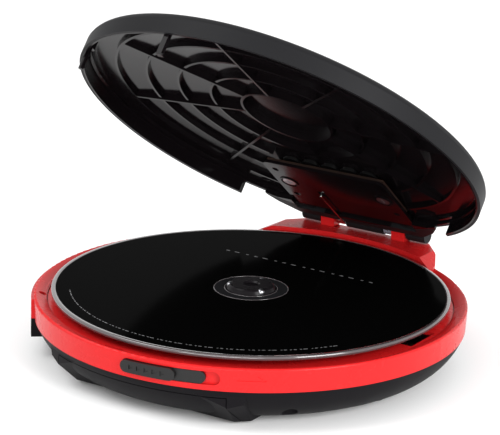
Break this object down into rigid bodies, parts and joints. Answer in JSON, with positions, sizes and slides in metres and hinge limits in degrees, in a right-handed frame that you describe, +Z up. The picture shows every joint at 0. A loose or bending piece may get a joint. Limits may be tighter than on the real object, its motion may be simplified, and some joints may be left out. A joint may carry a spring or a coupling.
{
  "type": "portable cd player",
  "caption": "Round portable disc player with a hinged lid standing open, a disc on its turntable, a red body ring, a front open slider and a battery bay beneath.",
  "frame": {"origin": "on the spindle axis, in the plane of the underside of the four feet", "axes": "+X to the right, +Y to the hinge at the back, +Z up along the spindle axis; the front with the open slider is at -Y"},
  "size_m": [0.1317, 0.1372, 0.1099],
  "materials": {
    "black_shell": "fine satin texture, charcoal",
    "red_ring": "glossy red",
    "deck_black": "satin black",
    "foot_rubber": "soft matte rubber",
    "screw_steel": "plated steel",
    "spring_steel": "bright spring wire",
    "contact_metal": "plain stamped sheet",
    "board_green": "solder mask",
    "chip_black": "moulded resin",
    "capacitor": "sleeved can",
    "motor_metal": "drawn steel can",
    "control_black": "fine satin",
    "turntable_black": "smooth moulded",
    "disc_black": "glossy black print over polycarbonate, clear rim",
    "gear_white": "natural acetal",
    "lens_glass": "coated lens",
    "lid_black": "glossy black inside, satin outside",
    "window_clear": "tinted clear window",
    "wire_grey": "insulated wire"
  },
  "bodies": {
    "base": {"lower_case": "black_shell", "upper_case": "red_ring", "deck": "red_ring", "rubber_feet": "foot_rubber", "case_screws": "screw_steel", "battery_springs": "spring_steel", "battery_plates": "contact_metal", "main_board": "board_green", "board_chips": "chip_black", "board_capacitors": "capacitor", "board_screws": "screw_steel", "volume_pot": "deck_black", "hold_switch_body": "deck_black", "lid_switch": "deck_black", "headphone_socket": "deck_black", "power_socket": "deck_black", "drive_chassis": "contact_metal", "damper_grommets": "foot_rubber", "guide_rods": "screw_steel", "spindle_motor": "motor_metal", "sled_motor": "motor_metal", "hinge_pins": "screw_steel", "slider_spring": "spring_steel"},
    "lid": {"lid_shell": "lid_black", "control_cover": "lid_black", "cover_screws": "screw_steel", "control_board": "board_green", "button_switches": "chip_black", "lcd_module": "chip_black", "lcd_window": "window_clear", "hinge_wires": "wire_grey", "hinge_spring": "spring_steel"},
    "skip_back_button": {"skip_back_button": "control_black"},
    "skip_forward_button": {"skip_forward_button": "control_black"},
    "play_pause_button": {"play_pause_button": "control_black"},
    "stop_button": {"stop_button": "control_black"},
    "mode_button": {"mode_button": "control_black"},
    "open_slider": {"open_slider": "control_black", "latch_plate": "contact_metal"},
    "turntable": {"turntable": "turntable_black", "platter_pad": "foot_rubber", "chuck_balls": "screw_steel", "compact_disc": "disc_black"},
    "pickup": {"pickup_sled": "turntable_black"},
    "lens": {"lens_holder": "turntable_black", "objective_lens": "lens_glass"},
    "drive_gear": {"drive_gear": "gear_white"},
    "motor_gear": {"motor_gear": "gear_white"},
    "battery_door": {"battery_door": "black_shell"},
    "volume_wheel": {"volume_wheel": "control_black"},
    "hold_knob": {"hold_knob": "control_black"},
    "lid_switch_plunger": {"lid_switch_plunger": "control_black"}
  },
  "joints": [
    {"name": "lid_hinge", "type": "hinge", "parent": "base", "child": "lid", "pos_m": [0, 0.0685, 0.0255], "axis": [1, 0, 0], "range_deg": [0, 39.2], "stiffness_Nm_per_rad": 0.03, "springref_deg": -57.3},
    {"name": "open_slide", "type": "hinge", "parent": "base", "child": "open_slider", "pos_m": [0, 0, 0.0163], "axis": [0, 0, 1], "range_deg": [0, 3.4], "stiffness_Nm_per_rad": 2, "springref_deg": -1.15},
    {"name": "turntable_spin", "type": "hinge", "parent": "base", "child": "turntable", "pos_m": [0, 0, 0.0203], "axis": [0, 0, 1], "continuous": true},
    {"name": "pickup_travel", "type": "slide", "parent": "base", "child": "pickup", "axis": [1, 0, 0], "range_m": [-0.00005, 0.03205]},
    {"name": "lens_focus", "type": "slide", "parent": "pickup", "child": "lens", "axis": [0, 0, 1], "range_m": [-0.0003, 0.0004], "stiffness_N_per_m": 40},
    {"name": "drive_gear_spin", "type": "hinge", "parent": "base", "child": "drive_gear", "pos_m": [0.025, 0.019, 0.012], "axis": [0, 0, 1], "range_deg": [0, 611.15]},
    {"name": "motor_gear_spin", "type": "hinge", "parent": "base", "child": "motor_gear", "pos_m": [0.0315, 0.0255, 0.012], "axis": [0, 0, 1], "range_deg": [-2205, 5]},
    {"name": "battery_door_slide", "type": "slide", "parent": "base", "child": "battery_door", "axis": [0, -1, 0], "range_m": [0, 0.034]},
    {"name": "volume_turn", "type": "hinge", "parent": "base", "child": "volume_wheel", "pos_m": [-0.05728, -0.01751, 0.0145], "axis": [0, 0, 1], "range_deg": [-140, 140]},
    {"name": "hold_slide", "type": "slide", "parent": "base", "child": "hold_knob", "axis": [0, 1, 0], "range_m": [0, 0.003]},
    {"name": "lid_switch_press", "type": "slide", "parent": "base", "child": "lid_switch_plunger", "axis": [0, 0, -1], "range_m": [0, 0.001], "stiffness_N_per_m": 100, "springref_m": -0.001},
    {"name": "skip_back_press", "type": "slide", "parent": "lid", "child": "skip_back_button", "axis": [0, -0.632, -0.7749], "range_m": [0, 0.0006], "stiffness_N_per_m": 300, "springref_m": -0.001},
    {"name": "skip_forward_press", "type": "slide", "parent": "lid", "child": "skip_forward_button", "axis": [0, -0.632, -0.7749], "range_m": [0, 0.0006], "stiffness_N_per_m": 300, "springref_m": -0.001},
    {"name": "play_pause_press", "type": "slide", "parent": "lid", "child": "play_pause_button", "axis": [0, -0.632, -0.7749], "range_m": [0, 0.0006], "stiffness_N_per_m": 300, "springref_m": -0.001},
    {"name": "stop_press", "type": "slide", "parent": "lid", "child": "stop_button", "axis": [0, -0.632, -0.7749], "range_m": [0, 0.0006], "stiffness_N_per_m": 300, "springref_m": -0.001},
    {"name": "mode_press", "type": "slide", "parent": "lid", "child": "mode_button", "axis": [0, -0.632, -0.7749], "range_m": [0, 0.0006], "stiffness_N_per_m": 300, "springref_m": -0.001}
  ],
  "couplings": [
    {"joint": "pickup_travel", "follows": "drive_gear_spin", "m_per_rad": 0.003},
    {"joint": "motor_gear_spin", "follows": "drive_gear_spin", "ratio": -3.6}
  ]
}
